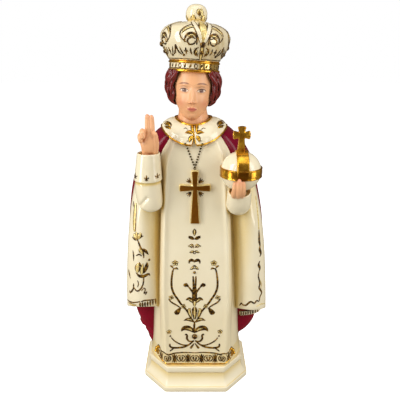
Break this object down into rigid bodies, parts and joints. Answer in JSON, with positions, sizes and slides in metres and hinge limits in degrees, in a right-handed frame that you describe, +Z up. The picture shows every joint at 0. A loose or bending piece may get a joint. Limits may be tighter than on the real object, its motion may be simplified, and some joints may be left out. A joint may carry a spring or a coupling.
{
  "type": "infant of prague statue",
  "caption": "Crowned child figure in gown and cape on a stepped plinth, right hand raised in blessing, left hand holding an orb and cross.",
  "frame": {"origin": "centre of the plinth's flat underside", "axes": "+Z up, the figure looks along -Y, its left hand with the orb is at +X"},
  "size_m": [0.1177, 0.0947, 0.2999],
  "materials": {
    "cream_glaze": "glossy cream glaze with airbrushed tan shading in the folds",
    "crimson_glaze": "glossy crimson glaze",
    "bright_gold": "fired bright gold, rubbed darker in the hollows",
    "painted_flesh": "soft satin flesh paint",
    "painted_hair": "glossy auburn paint"
  },
  "bodies": {
    "root": {"statue": "cream_glaze"}
  },
  "joints": []
}
